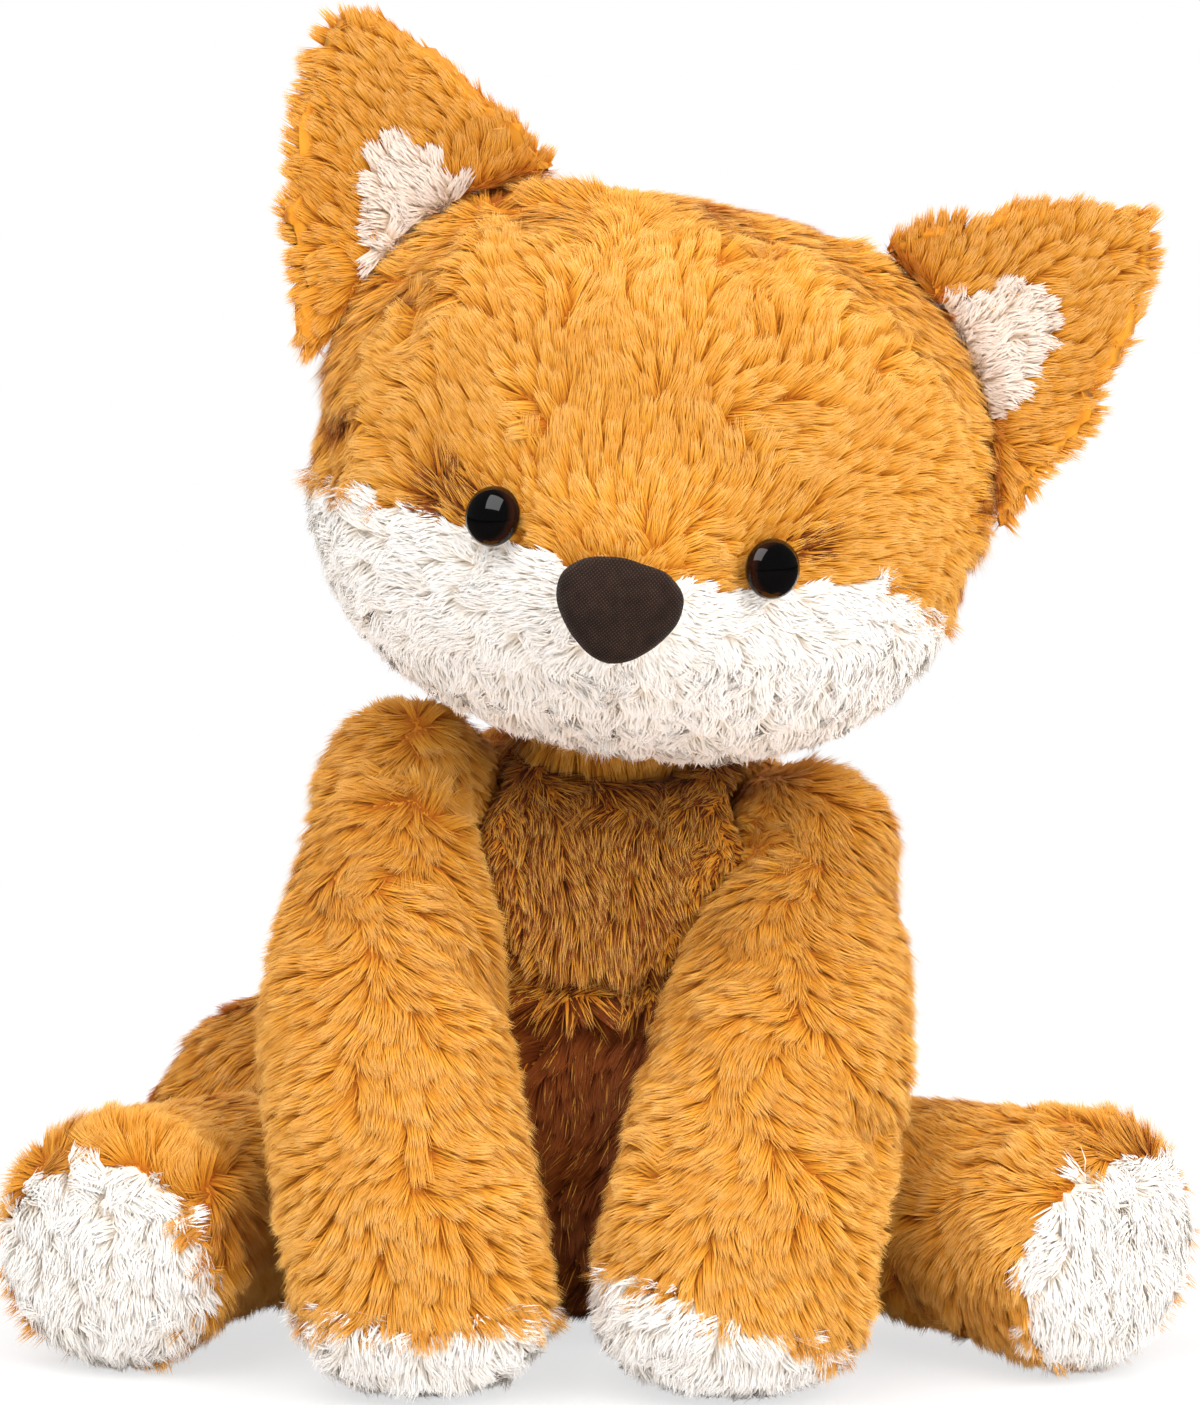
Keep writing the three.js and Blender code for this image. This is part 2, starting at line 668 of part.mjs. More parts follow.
// An ear in its own frame: Z up to the tip, X across, its hollow towards -Y
function earShape(halfWidth, height, root, thickness, forward) {
  const layers = 6;
  const ringList = [];
  for (let i = 0; i <= layers; i += 1) {
    const t = i / (layers + 1);
    const z = -root + (height + root) * Math.sin((Math.PI / 2) * t);
    const up = Math.max(0, z / height);
    const half = halfWidth * (1 - up ** earTaperShares[0]) ** earTaperShares[1];
    const thick = (thickness / 2) * (1 - up / 2);
    const ring = [];
    for (let side = 0; side < smallSides; side += 1) {
      const turn = (2 * Math.PI * side) / smallSides;
      const x = half * Math.cos(turn);
      const bend = ear.cup * (x / (ear.width / 2)) ** 2;
      ring.push(new THREE.Vector3(x, thick * Math.sin(turn) - bend - forward, z));
    }
    ringList.push(ring.reverse());
  }
  const foot = new THREE.Vector3(0, -forward, -root);
  return skinOver(foot, ringList, new THREE.Vector3(0, -forward, height));
}

function makeEar(side) {
  const { aroundDegrees, tiltDegrees } = earDegrees[side];
  const seat = new THREE.Vector3(
    head.halfWidth * Math.sin(rad(aroundDegrees)) * earSeatShare,
    0,
    head.halfHeight * Math.cos(rad(aroundDegrees)) * earSeatShare,
  );
  const place = new THREE.Matrix4().makeRotationY(rad(tiltDegrees)).setPosition(seat);
  const toHead = place.clone().invert();
  const skull = solid(swell(headForm, gap), toHead);
  const path = swept(skull, new THREE.Vector3(), axisX, earFold);
  const whole = solid(earShape(ear.width / 2, ear.height, ear.root, ear.thickness, 0)).subtract(path);
  const forward = ear.thickness / 2;
  const inset = (spare) => {
    const half = ear.width / 2 - lining.sideEdge + spare;
    const height = ear.height - lining.tipEdge + spare;
    const thick = (lining.depth + spare) * 2;
    return solid(earShape(half, height, ear.root * 2, thick, forward));
  };
  const stand = headPlace.clone().multiply(place).elements;
  add("ear_outer_" + side, whole.subtract(inset(gap)).transform(stand), orange);
  add("ear_lining_" + side, whole.intersect(inset(0)).transform(stand), white);
}

makeBody();
makeNeck();
makeHead();
makeNose();
for (const side of sides) {
  makeEye(side);
  makeEar(side);
  makeArm(side);
  makeLeg(side);
}
makeTail();

export default fox;
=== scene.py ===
# Plush fox, seated: long curly pile over polyester stuffing
# Blender 4.5, metres, +Z up, the fox looks along -Y
import json
import math
import time
import bmesh
import bpy
from mathutils import Matrix, Vector
from mathutils.bvhtree import BVHTree


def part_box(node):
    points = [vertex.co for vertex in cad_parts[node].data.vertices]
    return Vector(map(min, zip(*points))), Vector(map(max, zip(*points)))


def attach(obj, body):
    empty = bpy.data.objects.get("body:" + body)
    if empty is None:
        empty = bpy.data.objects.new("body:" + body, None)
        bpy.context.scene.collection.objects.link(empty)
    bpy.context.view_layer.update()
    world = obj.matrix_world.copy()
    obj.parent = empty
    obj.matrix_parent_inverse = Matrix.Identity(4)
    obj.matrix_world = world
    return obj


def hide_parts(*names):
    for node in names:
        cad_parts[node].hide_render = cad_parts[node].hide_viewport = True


mm = 0.001
began = time.perf_counter()
scene = bpy.context.scene
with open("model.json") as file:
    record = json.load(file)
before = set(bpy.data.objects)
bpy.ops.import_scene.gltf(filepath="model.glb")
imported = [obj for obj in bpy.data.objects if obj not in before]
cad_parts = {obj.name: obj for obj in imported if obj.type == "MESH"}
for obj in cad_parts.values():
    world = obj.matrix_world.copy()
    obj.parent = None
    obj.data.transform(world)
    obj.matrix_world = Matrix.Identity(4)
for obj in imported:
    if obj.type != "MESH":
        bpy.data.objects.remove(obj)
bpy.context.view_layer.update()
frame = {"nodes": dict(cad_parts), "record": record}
nodes = frame["nodes"]
bodies = frame["record"]["behaviour"]["bodies"]
bodyOf = {name: body for body, names in bodies.items() for name in names}
print("packed model loaded,", len(nodes), "nodes")


# One node with its settings and links. Values are keyed by socket name or number.
def add(tree, kind, values=None, **settings):
    made = tree.nodes.new(kind)
    for key, value in settings.items():
        setattr(made, key, value)
    for key, value in (values or {}).items():
        if isinstance(value, bpy.types.NodeSocket):
            tree.links.new(value, made.inputs[key])
        else:
            made.inputs[key].default_value = value
    return made


def linear(hexColour):
    channels = [int(hexColour[i : i + 2], 16) / 255 for i in (1, 3, 5)]
    return [c / 12.92 if c <= 0.04045 else ((c + 0.055) / 1.055) ** 2.4 for c in channels] + [1]


def newMaterial(name):
    material = bpy.data.materials.new(name)
    material.use_nodes = True
    tree = material.node_tree
    return material, tree, tree.nodes["Principled BSDF"]


def ramp(tree, factor, stops):
    made = add(tree, "ShaderNodeValToRGB", {0: factor})
    elements = made.color_ramp.elements
    while len(elements) < len(stops):
        elements.new(0.5)
    for element, (place, colour) in zip(elements, stops):
        element.position = place
        element.color = linear(colour)
    return made.outputs[0]


# From 0 to 1 and no further
def share(value):
    return max(0, min(1, value))


# A finished piece, in place of the nodes that it stands for
def addPiece(name, mesh, material, body, slot, *hidden):
    mesh.materials.clear()
    mesh.materials.append(material)
    mesh.polygons.foreach_set("use_smooth", [True] * len(mesh.polygons))
    piece = bpy.data.objects.new(name, mesh)
    scene.collection.objects.link(piece)
    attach(piece, body)
    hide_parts(*hidden)
    return piece


# The mesh that a modifier makes of another
def modified(mesh, kind, **settings):
    piece = bpy.data.objects.new(mesh.name, mesh)
    scene.collection.objects.link(piece)
    modifier = piece.modifiers.new("modifier", kind)
    for key, value in settings.items():
        setattr(modifier, key, value)
    graph = bpy.context.evaluated_depsgraph_get()
    made = bpy.data.meshes.new_from_object(piece.evaluated_get(graph))
    bpy.data.objects.remove(piece)
    return made


# The closed skin round some nodes, in one mesh with its edges rounded
def roundedSkin(names, voxel, softening):
    bm = bmesh.new()
    for name in names:
        bm.from_mesh(nodes[name].data)
    bmesh.ops.remove_doubles(bm, verts=bm.verts, dist=0.001 * mm)
    mesh = bpy.data.meshes.new("skin")
    bm.to_mesh(mesh)
    bm.free()
    made = modified(mesh, "REMESH", mode="VOXEL", voxel_size=voxel * mm)
    bm = bmesh.new()
    bm.from_mesh(made)
    for _ in range(softening):
        bmesh.ops.smooth_vert(
            bm, verts=bm.verts, factor=0.5, use_axis_x=True, use_axis_y=True, use_axis_z=True
        )
    bm.normal_update()
    return bm


# An extrusion or a spin leaves its faces in an order that changes from run to run
def settleFaces(bm):
    bm.verts.index_update()
    ordered = sorted(bm.faces, key=lambda face: [vert.index for vert in face.verts])
    for number, face in enumerate(ordered):
        face.index = number
    bm.faces.sort()


# Camera: the photograph's angle, a long lens a little above the fox. The scale is in pixels of the
# photograph per millimetre and the height is the photograph's in pixels.
camera = {"lens": 180, "sensor": 36, "elevation": 8, "aimZ": 113.5, "scale": 5.5, "height": 1405}


def makeCamera():
    data = bpy.data.cameras.new("camera")
    data.lens = camera["lens"]
    data.sensor_fit = "VERTICAL"
    data.sensor_height = camera["sensor"]
    distance = camera["height"] / camera["scale"] * mm * camera["lens"] / data.sensor_height
    raised = math.radians(camera["elevation"])
    seen = bpy.data.objects.new("camera", data)
    away = Vector((0, -math.cos(raised), math.sin(raised)))
    seen.location = Vector((0, 0, camera["aimZ"] * mm)) + away * distance
    seen.rotation_euler = (math.radians(90) - raised, 0, 0)
    scene.collection.objects.link(seen)
    scene.camera = seen


makeCamera()
print("camera set")

# Pile of both colours. Lengths and distances in millimetres, densities per square millimetre.
pile = {
    "orange": {
        "length": 6.6,
        "shortest": 0.86,
        "spread": 0.13,
        "width": 0.34,
        "rise": 0.38,
        "lay": 0.95,
        "swirl": 2,
        "swirlSize": 15,
        "bend": 0.14,
        "twist": 0.45,
        "clump": 0.5,
        "clumpSize": 2.6,
        "density": 9.4,
        "inset": 2.2,
        "soft": 0.86,
        "tilt": 1,
        "strandTone": 0.12,
    },
    "white": {
        "length": 5.2,
        "shortest": 0.8,
        "spread": 0.24,
        "width": 0.42,
        "rise": 0.36,
        "lay": 0.8,
        "swirl": 2.4,
        "swirlSize": 5,
        "bend": 0.24,
        "twist": 0.25,
        "clump": 0.4,
        "clumpSize": 3,
        "density": 10,
        "inset": 1.8,
        "soft": 0.97,
        "tilt": 0.3,
        "strandTone": 0.2,
    },
}
# What both colours share: shares of the values above, and sizes in millimetres
growth = {
    "clumpSpacing": 0.8,
    "clumpCount": 1.4,
    "clumpLength": (0.86, 1.1),
    "longest": 1.08,
    "widths": (0.7, 1.25),
    "topRise": 0.4,  # on a level top the pile lies flatter
    "cloudSize": 14,
    "clumpTone": 0.24,
    "brownChance": (0.02, 0.98),
    "strandAcross": 0.02,
    "mottleSize": 5,
    "mottle": (0.8, 0.7, 0),
    "floor": 0.3,
}
strandForm = {"bow": 4, "taper": 2.2, "tip": 0.12}
mapName = "OFBake"  # across, a tuft's tone; up, from its root to its tip
brownPlace = 0.9  # past this place across the map a tuft is brown
toneEnd, brownStart = brownPlace - 0.06, brownPlace + 0.04


# One strand, a metre long: a narrow strip with a bow, tapering to its tip
def makeStrand(rows):
    mesh = bpy.data.meshes.new("strand")
    bm = bmesh.new()
    bmesh.ops.create_grid(bm, x_segments=1, y_segments=rows, size=0.5)
    spot = bm.verts.layers.float_vector.new("spot")
    for vert in bm.verts:
        side, up = vert.co.x + 0.5, vert.co.y + 0.5
        vert[spot] = Vector((side, up, 0))
        taper = 1 - up ** strandForm["taper"]
        wide = taper + strandForm["tip"] * (1 - taper)
        vert.co = Vector((strandForm["bow"] * up * (1 - up), (side - 0.5) * wide, up))
    tip = [vert for vert in bm.verts if vert.co.z > 0.999]
    bmesh.ops.pointmerge(bm, verts=tip, merge_co=Vector((0, 0, 1)))
    bm.to_mesh(mesh)
    bm.free()
    return bpy.data.objects.new("strand", mesh)


# A pile over the faces of a skin that say they are outside
def pileTree(name, look, strand, seed):
    tree = bpy.data.node_groups.new(name, "GeometryNodeTree")
    for way in ("INPUT", "OUTPUT"):
        tree.interface.new_socket("Geometry", in_out=way, socket_type="NodeSocketGeometry")
    skin = add(tree, "NodeGroupInput").outputs[0]
    place = add(tree, "GeometryNodeInputPosition").outputs[0]

    def named(key, kind="FLOAT"):
        return add(tree, "GeometryNodeInputNamedAttribute", {"Name": key}, data_type=kind).outputs[0]

    grows = add(
        tree, "ShaderNodeMath", {0: named("outside"), 1: named("open")}, operation="MULTIPLY"
    ).outputs[0]
    density = add(
        tree, "ShaderNodeMath", {0: grows, 1: look["density"] / mm**2}, operation="MULTIPLY"
    ).outputs[0]
    roots = add(
        tree, "GeometryNodeDistributePointsOnFaces", {"Mesh": skin, "Density": density, "Seed": seed}
    )
    clumpSize = look["clumpSize"] * mm
    clumps = add(
        tree,
        "GeometryNodeDistributePointsOnFaces",
        {
            "Mesh": skin,
            "Distance Min": clumpSize * growth["clumpSpacing"],
            "Density Max": growth["clumpCount"] / clumpSize**2,
            "Seed": seed + 1,
        },
        distribute_method="POISSON",
    ).outputs[0]
    nearest = add(tree, "GeometryNodeSampleNearest", {"Geometry": clumps}).outputs[0]
    centre = add(
        tree,
        "GeometryNodeSampleIndex",
        {"Geometry": clumps, "Value": place, "Index": nearest},
        data_type="FLOAT_VECTOR",
    ).outputs[0]

    # Which way the strand leans: the nap with a slow swirl
    swirl = add(
        tree, "ShaderNodeTexNoise", {"Vector": centre, "Scale": 1 / (look["swirlSize"] * mm), "Detail": 2}
    ).outputs[1]
    centred = add(
        tree, "ShaderNodeVectorMath", {0: swirl, 1: (0.5, 0.5, 0.5)}, operation="SUBTRACT"
    ).outputs[0]
    turned = add(
        tree, "ShaderNodeVectorMath", {0: centred, "Scale": look["swirl"] * 2}, operation="SCALE"
    ).outputs[0]
    nap = add(
        tree, "ShaderNodeVectorMath", {0: named("nap", "FLOAT_VECTOR"), 1: turned}, operation="ADD"
    ).outputs[0]
    normal = roots.outputs[1]
    lift = add(tree, "ShaderNodeVectorMath", {0: nap, 1: normal}, operation="DOT_PRODUCT").outputs[1]
    flat = add(tree, "ShaderNodeVectorMath", {0: normal, "Scale": lift}, operation="SCALE").outputs[0]
    tangent = add(tree, "ShaderNodeVectorMath", {0: nap, 1: flat}, operation="SUBTRACT").outputs[0]
    along = add(tree, "ShaderNodeVectorMath", {0: tangent}, operation="NORMALIZE").outputs[0]
    laid = add(tree, "ShaderNodeVectorMath", {0: along, "Scale": look["lay"]}, operation="SCALE").outputs[0]
    level = add(tree, "ShaderNodeSeparateXYZ", {0: normal}).outputs[2]
    rise = add(
        tree,
        "ShaderNodeMapRange",
        {0: level, 1: 0, 2: 1, 3: look["rise"], 4: look["rise"] * growth["topRise"]},
    ).outputs[0]
    raised = add(tree, "ShaderNodeVectorMath", {0: normal, "Scale": rise}, operation="SCALE").outputs[0]
    summed = add(tree, "ShaderNodeVectorMath", {0: laid, 1: raised}, operation="ADD").outputs[0]
    lean = add(tree, "ShaderNodeVectorMath", {0: summed}, operation="NORMALIZE").outputs[0]
    upright = add(tree, "ShaderNodeVectorMath", {0: lean, 1: normal}, operation="DOT_PRODUCT").outputs[1]
    tilt = add(tree, "ShaderNodeMath", {0: upright, 1: look["tilt"]}, operation="MULTIPLY").outputs[0]
    shared = add(tree, "ShaderNodeVectorMath", {0: lean, "Scale": tilt}, operation="SCALE").outputs[0]
    facing = add(tree, "ShaderNodeVectorMath", {0: normal, 1: shared}, operation="SUBTRACT").outputs[0]
    jitter = add(
        tree,
        "FunctionNodeRandomValue",
        {0: (-look["spread"],) * 3, 1: (look["spread"],) * 3, 8: seed + 2},
        data_type="FLOAT_VECTOR",
    ).outputs[0]
    scattered = add(tree, "ShaderNodeVectorMath", {0: summed, 1: jitter}, operation="ADD").outputs[0]
    unit = add(tree, "ShaderNodeVectorMath", {0: scattered}, operation="NORMALIZE").outputs[0]

    # How long it is: by clump, by strand and by the room around it
    least, most = growth["clumpLength"]
    byClump = add(
        tree, "FunctionNodeRandomValue", {2: least, 3: most, "ID": nearest, 8: seed + 3}
    ).outputs[1]
    byStrand = add(
        tree, "FunctionNodeRandomValue", {2: look["shortest"], 3: growth["longest"], 8: seed + 4}
    ).outputs[1]
    both = add(tree, "ShaderNodeMath", {0: byClump, 1: byStrand}, operation="MULTIPLY").outputs[0]
    roomy = add(tree, "ShaderNodeMath", {0: both, 1: named("room")}, operation="MULTIPLY").outputs[0]
    length = add(
        tree, "ShaderNodeMath", {0: roomy, 1: look["length"] * mm}, operation="MULTIPLY"
    ).outputs[0]
    own = add(tree, "ShaderNodeVectorMath", {0: unit, "Scale": length}, operation="SCALE").outputs[0]
    aside = add(tree, "ShaderNodeVectorMath", {0: centre, 1: place}, operation="SUBTRACT").outputs[0]
    drawn = add(
        tree, "ShaderNodeVectorMath", {0: aside, "Scale": look["clump"]}, operation="SCALE"
    ).outputs[0]
    reach = add(tree, "ShaderNodeVectorMath", {0: own, 1: drawn}, operation="ADD").outputs[0]
    size = add(tree, "ShaderNodeVectorMath", {0: reach}, operation="LENGTH").outputs[1]

    # Its bow faces out of the skin, give or take a twist
    pointed = add(tree, "FunctionNodeAlignRotationToVector", {"Vector": reach}, axis="Z").outputs[0]
    faced = add(
        tree,
        "FunctionNodeAlignRotationToVector",
        {"Rotation": pointed, "Vector": normal},
        axis="X",
        pivot_axis="Z",
    ).outputs[0]
    angle = add(
        tree, "FunctionNodeRandomValue", {2: -look["twist"], 3: look["twist"], 8: seed + 5}
    ).outputs[1]
    twist = add(tree, "FunctionNodeAxisAngleToRotation", {"Axis": (0, 0, 1), "Angle": angle}).outputs[0]
    rotation = add(
        tree, "FunctionNodeRotateRotation", {"Rotation": faced, "Rotate By": twist}, rotation_space="LOCAL"
    ).outputs[0]
    bow = add(tree, "FunctionNodeRandomValue", {2: 0, 3: look["bend"], 8: seed + 6}).outputs[1]
    bowed = add(tree, "ShaderNodeMath", {0: bow, 1: size}, operation="MULTIPLY").outputs[0]
    thin, thick = [look["width"] * mm * part for part in growth["widths"]]
    width = add(tree, "FunctionNodeRandomValue", {2: thin, 3: thick, 8: seed + 7}).outputs[1]
    scale = add(tree, "ShaderNodeCombineXYZ", {0: bowed, 1: width, 2: size}).outputs[0]

    # Its tone: a slow cloud over the skin, its clump and itself
    cloud = add(
        tree, "ShaderNodeTexNoise", {"Vector": centre, "Scale": 1 / (growth["cloudSize"] * mm), "Detail": 2}
    ).outputs[0]
    clumpTone = add(
        tree,
        "FunctionNodeRandomValue",
        {2: -growth["clumpTone"], 3: growth["clumpTone"], "ID": nearest, 8: seed + 8},
    ).outputs[1]
    strandTone = add(
        tree, "FunctionNodeRandomValue", {2: -look["strandTone"], 3: look["strandTone"], 8: seed + 9}
    ).outputs[1]
    tones = add(tree, "ShaderNodeMath", {0: clumpTone, 1: strandTone}, operation="ADD").outputs[0]
    tone = add(tree, "ShaderNodeMath", {0: cloud, 1: tones}, operation="ADD").outputs[0]
    kept = add(tree, "ShaderNodeClamp", {0: tone, 1: 0, 2: 1}).outputs[0]
    across = add(tree, "ShaderNodeMath", {0: kept, 1: toneEnd}, operation="MULTIPLY").outputs[0]
    # Brown strands where the stain-and-shade share is high: a stain beside the eyes, painted shade on the
    # belly and chest
    seldom, often = growth["brownChance"]
    chance = add(tree, "FunctionNodeRandomValue", {2: seldom, 3: often, 8: seed + 10}).outputs[1]
    brown = add(tree, "ShaderNodeMath", {0: named("stain"), 1: chance}, operation="GREATER_THAN").outputs[0]
    stainedAndShaded = add(tree, "ShaderNodeMix", {0: brown, 2: across, 3: brownStart}).outputs[0]
    toned = add(
        tree,
        "GeometryNodeStoreNamedAttribute",
        {0: roots.outputs[0], "Name": "tone", "Value": stainedAndShaded},
        data_type="FLOAT",
        domain="POINT",
    ).outputs[0]
    leant = add(
        tree,
        "GeometryNodeStoreNamedAttribute",
        {0: toned, "Name": "out", "Value": facing},
        data_type="FLOAT_VECTOR",
        domain="POINT",
    ).outputs[0]
    shape = add(tree, "GeometryNodeObjectInfo", {"Object": strand}).outputs["Geometry"]
    placed = add(
        tree,
        "GeometryNodeInstanceOnPoints",
        {"Points": leant, "Instance": shape, "Rotation": rotation, "Scale": scale},
    ).outputs[0]
    strands = add(tree, "GeometryNodeRealizeInstances", {0: placed}).outputs[0]
    spot = add(tree, "ShaderNodeSeparateXYZ", {0: named("spot", "FLOAT_VECTOR")})
    side = add(
        tree, "ShaderNodeMath", {0: spot.outputs[0], 1: growth["strandAcross"]}, operation="MULTIPLY"
    ).outputs[0]
    mapX = add(tree, "ShaderNodeMath", {0: named("tone"), 1: side}, operation="ADD").outputs[0]
    mapAt = add(tree, "ShaderNodeCombineXYZ", {0: mapX, 1: spot.outputs[1]}).outputs[0]
    mapped = add(
        tree,
        "GeometryNodeStoreNamedAttribute",
        {0: strands, "Name": mapName, "Value": mapAt},
        data_type="FLOAT2",
        domain="CORNER",
    ).outputs[0]

    # A pile scatters light as one soft surface, so its strands take most of their normals from their clump
    own = add(tree, "GeometryNodeInputNormal").outputs[0]
    outward = add(
        tree, "ShaderNodeMix", {0: look["soft"], 4: own, 5: named("out", "FLOAT_VECTOR")}, data_type="VECTOR"
    ).outputs[1]
    softened = add(
        tree, "GeometryNodeSetMeshNormal", {0: mapped, "Custom Normal": outward}, mode="FREE", domain="POINT"
    ).outputs[0]

    # The skin itself shows only the colour of the roots
    ground = add(tree, "ShaderNodeTexNoise", {"Vector": place, "Scale": 1 / (growth["mottleSize"] * mm)})
    mottled = add(
        tree, "ShaderNodeVectorMath", {0: ground.outputs[1], 1: growth["mottle"]}, operation="MULTIPLY"
    ).outputs[0]
    skinMapped = add(
        tree,
        "GeometryNodeStoreNamedAttribute",
        {0: skin, "Name": mapName, "Value": mottled},
        data_type="FLOAT2",
        domain="CORNER",
    ).outputs[0]
    whole = add(tree, "GeometryNodeJoinGeometry")
    tree.links.new(skinMapped, whole.inputs[0])
    tree.links.new(softened, whole.inputs[0])

    # Nothing reaches under the floor
    now = add(tree, "ShaderNodeSeparateXYZ", {0: place}).outputs
    above = add(tree, "ShaderNodeMath", {0: now[2], 1: growth["floor"] * mm}, operation="MAXIMUM").outputs[0]
    resting = add(tree, "ShaderNodeCombineXYZ", {0: now[0], 1: now[1], 2: above}).outputs[0]
    pressed = add(tree, "GeometryNodeSetPosition", {0: whole.outputs[0], "Position": resting}).outputs[0]
    add(tree, "NodeGroupOutput", {0: pressed})
    return tree


# Brown strands: the stain beside the eyes, and the painted shade on the belly, the chest and under the chin
brownTones = [(0, "#4c1c04"), (0.5, "#7c3a0c"), (1, "#a3541a")]
rootRoughness = 0.95


# Acrylic pile fibre: dull and darker at the roots, partly the fibre's colour and partly painted shade deep in
# the pile, with a soft shine at the lighter tips
def pileMaterial(name, dark, light, shine):
    material, tree, surface = newMaterial(name)
    spot = add(tree, "ShaderNodeSeparateXYZ", {0: add(tree, "ShaderNodeUVMap", uv_map=mapName).outputs[0]})
    across, up = spot.outputs[0], spot.outputs[1]
    tone = add(tree, "ShaderNodeMapRange", {0: across, 1: 0, 2: brownPlace - 0.04, 3: 0, 4: 1}).outputs[0]
    low = ramp(tree, up, dark)
    high = ramp(tree, up, light)
    mixed = add(tree, "ShaderNodeMix", {0: tone, 6: low, 7: high}, data_type="RGBA").outputs[2]
    brown = ramp(tree, up, brownTones)
    isBrown = add(tree, "ShaderNodeMath", {0: across, 1: brownPlace}, operation="GREATER_THAN").outputs[0]
    colour = add(tree, "ShaderNodeMix", {0: isBrown, 6: mixed, 7: brown}, data_type="RGBA").outputs[2]
    tree.links.new(colour, surface.inputs["Base Color"])
    rough = add(tree, "ShaderNodeMapRange", {0: up, 3: rootRoughness, 4: shine}).outputs[0]
    tree.links.new(rough, surface.inputs["Roughness"])
    surface.inputs["Specular IOR Level"].default_value = 0.22
    surface.inputs["Sheen Weight"].default_value = 0.06
    surface.inputs["Sheen Roughness"].default_value = 0.5
    return material


# Root to tip: the darker, warmer roots are partly painted shade in the depth of the pile
orangePile = pileMaterial(
    "orange acrylic pile",
    [(0, "#a24c0c"), (0.3, "#c97a1c"), (0.6, "#df942c"), (1, "#eaaa44")],
    [(0, "#b85f12"), (0.3, "#dc9226"), (0.6, "#efac3e"), (1, "#fbce7e")],
    0.55,
)
whitePile = pileMaterial(
    "white curly acrylic pile",
    [(0, "#f6e4cc"), (0.35, "#fbf0e2"), (0.7, "#fdf8f1"), (1, "#fefcf9")],
    [(0, "#fbecd8"), (0.35, "#fef6ec"), (0.7, "#fffcf8"), (1, "#fffefd")],
    0.6,
)
liningPile = pileMaterial(
    "cream curly acrylic pile",
    [(0, "#d8b898"), (0.35, "#e4ccb6"), (0.7, "#ecdaca"), (1, "#f2e6da")],
    [(0, "#dec2a6"), (0.35, "#ead6c4"), (0.7, "#f2e4d8"), (1, "#f8efe8")],
    0.6,
)

# Stuffed forms: which nodes are pile, what is inside them, how the nap lies, the pile's size against its
# full length, and the forms that are sewn on and need no room
forms = {
    "body": {
        "orange": ["body_front", "body_back"],
        "white": [],
        "inside": ["body_filling", "seat_bag"],
        "nap": "down",
        "size": 1,
        "joins": ["neck", "cheek"],
    },
    "neck": {"orange": ["neck_filling"], "white": [], "inside": [], "nap": "down", "size": 2.2, "share": 0.7},
    "head": {
        "orange": ["head_gusset", "head_side_r", "head_side_l"],
        "white": ["cheek_r", "cheek_l"],
        "inside": ["head_filling"],
        "nap": "fromNose",
        "size": 0.9,
        "joins": ["ear"],
    },
    "tail": {
        "orange": ["tail_sleeve"],
        "white": ["tail_tip"],
        "inside": ["tail_filling"],
        "nap": "toTip",
        "size": 1,
    },
}
for side in ("r", "l"):
    forms["ear_" + side] = {
        "orange": ["ear_outer_" + side],
        "white": ["ear_lining_" + side],
        "inside": [],
        "nap": "upEar",
        "size": 0.72,
        "joins": ["head", "cheek"],
    }
    forms["arm_" + side] = {
        "orange": ["arm_sleeve_" + side],
        "white": ["paw_cap_" + side],
        "inside": ["arm_filling_" + side],
        "nap": "downArm",
        "size": 1,
    }
    forms["leg_" + side] = {
        "orange": ["leg_sleeve_" + side],
        "white": ["sole_" + side],
        "inside": ["leg_filling_" + side],
        "nap": "toHip",
        "size": 1,
    }

middles = {}
for name in nodes:
    lowest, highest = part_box(name)
    middles[name] = (Vector(lowest) + Vector(highest)) / 2
noseAt = middles["nose"]
eyesAt = [middles["eye_r"], middles["eye_l"]]
slotNames = {"orange": "orange_pile", "white": "white_pile"}
down = Vector((0, 0, -1))

# The nap's turns, in millimetres and in shares of a direction
napSettings = {
    "chin": 10,
    "narrow": 0.5,
    "halfHead": 60,
    "crownBack": 0.1,
    "behindFrom": 5,
    "behindOver": 20,
    "faceFrom": 0.85,
    "faceOver": 0.5,
    "earRoot": 0.3,
    "halfArm": 18,
    "armAside": 0.6,
    "armBack": 0.2,
    "armDown": 0.8,
    "legTop": 1.6,
}


# On the face the nap runs away from the nose, over the crown it falls to both sides, and behind it hangs
def headNapAt(point, normal):
    if point.z < noseAt.z - napSettings["chin"] * mm:
        return down
    away = point - noseAt
    away.x *= napSettings["narrow"]
    aside = (point.x - noseAt.x) / (napSettings["halfHead"] * mm)
    fallen = Vector((aside, napSettings["crownBack"], -abs(aside))).normalized()
    behind = share((point.y / mm - napSettings["behindFrom"]) / napSettings["behindOver"])
    turned = share((normal.y + napSettings["faceFrom"]) / napSettings["faceOver"])
    return away.normalized().lerp(fallen.lerp(down, behind), turned)


# Which way the strands lie at a point of a form
def napAt(form, point, normal):
    kind = forms[form]["nap"]
    side = form[-1]
    if kind == "fromNose":
        return headNapAt(point, normal)
    if kind == "upEar":
        root = middles["ear_outer_" + side].lerp(middles["head_gusset"], napSettings["earRoot"])
        return (point - root).normalized()
    if kind == "downArm":
        aside = (point.x - middles["arm_sleeve_" + side].x) / (napSettings["halfArm"] * mm)
        aside = napSettings["armAside"] * max(-1, min(1, aside))
        return Vector((aside, napSettings["armBack"], -napSettings["armDown"])).normalized()
    if kind == "toHip":
        back = (middles["leg_sleeve_" + side] - middles["sole_" + side]).normalized()
        return down.lerp(back, share(napSettings["legTop"] * normal.z))
    if kind == "toTip":
        return (middles["tail_tip"] - point).normalized()
    return down
